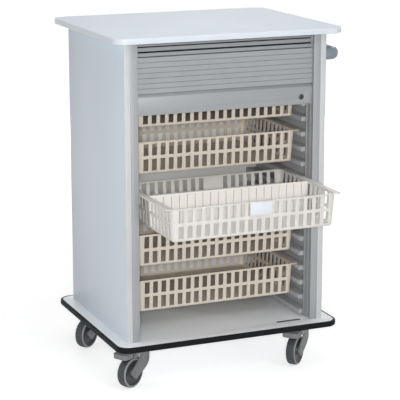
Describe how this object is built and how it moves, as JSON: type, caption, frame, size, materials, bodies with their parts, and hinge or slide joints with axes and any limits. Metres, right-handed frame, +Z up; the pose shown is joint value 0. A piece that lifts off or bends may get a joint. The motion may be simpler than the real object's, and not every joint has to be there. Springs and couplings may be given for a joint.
{
  "type": "mobile clinic storage cart",
  "caption": "Mobile clinic storage cart with lattice pull-out baskets on runner ladders behind a slatted roller shutter, a side push handle, a lock and swivel casters with pedal brakes.",
  "frame": {"origin": "on the floor, under the centre of the box that the whole cart fills with one basket pulled out", "axes": "+Z up, +X to the right of someone facing the open front, +Y from the front to the back"},
  "size_m": [0.811, 0.8002, 1.135],
  "materials": {
    "board": "smooth pale blue-white melamine coating on chipboard",
    "edge_band": "satin ABS edge band in the board's colour",
    "bumper": "matt black bumper profile",
    "guide": "satin grey anodised guide profile",
    "slat": "grey extruded plastic slats",
    "lead_bar": "grey powder-coated hollow aluminium bar",
    "ladder": "grey moulded ABS",
    "basket": "ivory moulded polypropylene, fine texture",
    "label": "bluish-white card",
    "handle": "satin blue-grey moulded grip",
    "lock": "dark nickel-plated lock barrel",
    "zinc_steel": "zinc-plated steel",
    "fork": "mid-grey moulded nylon",
    "wheel_core": "dark grey moulded nylon",
    "tyre": "slate-grey soft tread"
  },
  "bodies": {
    "cabinet": {"base_board": "board", "base_bumper": "bumper", "left_side_panel": "board", "right_side_panel": "board", "back_panel": "board", "inner_back_panel": "board", "inner_ceiling_panel": "board", "top_board": "board", "top_edge_band": "edge_band", "left_shutter_guide": "guide", "right_shutter_guide": "guide", "left_runner_ladder": "ladder", "right_runner_ladder": "ladder", "stored_curtain": "slat", "push_handle_bar": "handle", "handle_foot_front": "handle", "handle_foot_rear": "handle", "caster_front_left_plate": "zinc_steel", "caster_front_right_plate": "zinc_steel", "caster_rear_left_plate": "zinc_steel", "caster_rear_right_plate": "zinc_steel"},
    "shutter": {"shutter_lead_bar": "lead_bar", "shutter_slat_1": "slat", "shutter_slat_2": "slat", "shutter_slat_3": "slat", "shutter_slat_4": "slat", "shutter_slat_5": "slat", "shutter_slat_6": "slat", "shutter_slat_7": "slat"},
    "lock": {"lock_cylinder": "lock"},
    "bolt": {"lock_bolt": "zinc_steel"},
    "basket_1_body": {"basket_1": "basket"},
    "basket_2_body": {"basket_2": "basket"},
    "basket_3_body": {"basket_3": "basket", "basket_divider": "basket", "label_holder": "basket", "label_card": "label"},
    "basket_4_body": {"basket_4": "basket"},
    "basket_5_body": {"basket_5": "basket"},
    "front_left_fork": {"caster_front_left_fork": "fork", "caster_front_left_axle": "zinc_steel"},
    "front_left_wheel": {"caster_front_left_wheel_core": "wheel_core", "caster_front_left_tyre": "tyre"},
    "front_left_pedal": {"caster_front_left_pedal": "fork"},
    "front_right_fork": {"caster_front_right_fork": "fork", "caster_front_right_axle": "zinc_steel"},
    "front_right_wheel": {"caster_front_right_wheel_core": "wheel_core", "caster_front_right_tyre": "tyre"},
    "front_right_pedal": {"caster_front_right_pedal": "fork"},
    "rear_left_fork": {"caster_rear_left_fork": "fork", "caster_rear_left_axle": "zinc_steel"},
    "rear_left_wheel": {"caster_rear_left_wheel_core": "wheel_core", "caster_rear_left_tyre": "tyre"},
    "rear_right_fork": {"caster_rear_right_fork": "fork", "caster_rear_right_axle": "zinc_steel"},
    "rear_right_wheel": {"caster_rear_right_wheel_core": "wheel_core", "caster_rear_right_tyre": "tyre"}
  },
  "joints": [
    {"name": "shutter_lift", "type": "slide", "parent": "cabinet", "child": "shutter", "axis": [0, 0, 1], "range_m": [-0.17, 0.038]},
    {"name": "lock_turn", "type": "hinge", "parent": "shutter", "child": "lock", "pos_m": [0.249, -0.1684, 0.9094], "axis": [0, 1, 0], "range_deg": [-2, 92]},
    {"name": "bolt_slide", "type": "slide", "parent": "shutter", "child": "bolt", "axis": [0, 0, -1], "range_m": [0, 0.012]},
    {"name": "basket_1_slide", "type": "slide", "parent": "cabinet", "child": "basket_1_body", "axis": [0, -1, 0], "range_m": [0, 0.046]},
    {"name": "basket_2_slide", "type": "slide", "parent": "cabinet", "child": "basket_2_body", "axis": [0, -1, 0], "range_m": [0, 0.32]},
    {"name": "basket_3_slide", "type": "slide", "parent": "cabinet", "child": "basket_3_body", "axis": [0, -1, 0], "range_m": [-0.2925, 0.0275]},
    {"name": "basket_4_slide", "type": "slide", "parent": "cabinet", "child": "basket_4_body", "axis": [0, -1, 0], "range_m": [0, 0.32]},
    {"name": "basket_5_slide", "type": "slide", "parent": "cabinet", "child": "basket_5_body", "axis": [0, -1, 0], "range_m": [0, 0.32]},
    {"name": "front_left_swivel", "type": "hinge", "parent": "cabinet", "child": "front_left_fork", "pos_m": [-0.305, -0.1359, 0.12], "axis": [0, 0, 1], "continuous": true},
    {"name": "front_left_roll", "type": "hinge", "parent": "front_left_fork", "child": "front_left_wheel", "pos_m": [-0.34397, -0.1584, 0.05], "axis": [0.5, -0.866, 0], "continuous": true},
    {"name": "front_left_brake", "type": "hinge", "parent": "front_left_fork", "child": "front_left_pedal", "pos_m": [-0.35003, -0.1619, 0.115], "axis": [0.5, -0.866, 0], "range_deg": [0, 12]},
    {"name": "front_right_swivel", "type": "hinge", "parent": "cabinet", "child": "front_right_fork", "pos_m": [0.276, -0.1359, 0.12], "axis": [0, 0, 1], "continuous": true},
    {"name": "front_right_roll", "type": "hinge", "parent": "front_right_fork", "child": "front_right_wheel", "pos_m": [0.24309, -0.16659, 0.05], "axis": [0.682, -0.7314, 0], "continuous": true},
    {"name": "front_right_brake", "type": "hinge", "parent": "front_right_fork", "child": "front_right_pedal", "pos_m": [0.23797, -0.17136, 0.115], "axis": [0.682, -0.7314, 0], "range_deg": [0, 12]},
    {"name": "rear_left_swivel", "type": "hinge", "parent": "cabinet", "child": "rear_left_fork", "pos_m": [-0.305, 0.3031, 0.12], "axis": [0, 0, 1], "continuous": true},
    {"name": "rear_left_roll", "type": "hinge", "parent": "rear_left_fork", "child": "rear_left_wheel", "pos_m": [-0.34141, 0.27665, 0.05], "axis": [0.5878, -0.809, 0], "continuous": true},
    {"name": "rear_right_swivel", "type": "hinge", "parent": "cabinet", "child": "rear_right_fork", "pos_m": [0.276, 0.3031, 0.12], "axis": [0, 0, 1], "continuous": true},
    {"name": "rear_right_roll", "type": "hinge", "parent": "rear_right_fork", "child": "rear_right_wheel", "pos_m": [0.24103, 0.27478, 0.05], "axis": [0.6293, -0.7771, 0], "continuous": true}
  ],
  "couplings": [
    {"joint": "lock_turn", "follows": "bolt_slide", "rad_per_m": 130}
  ]
}
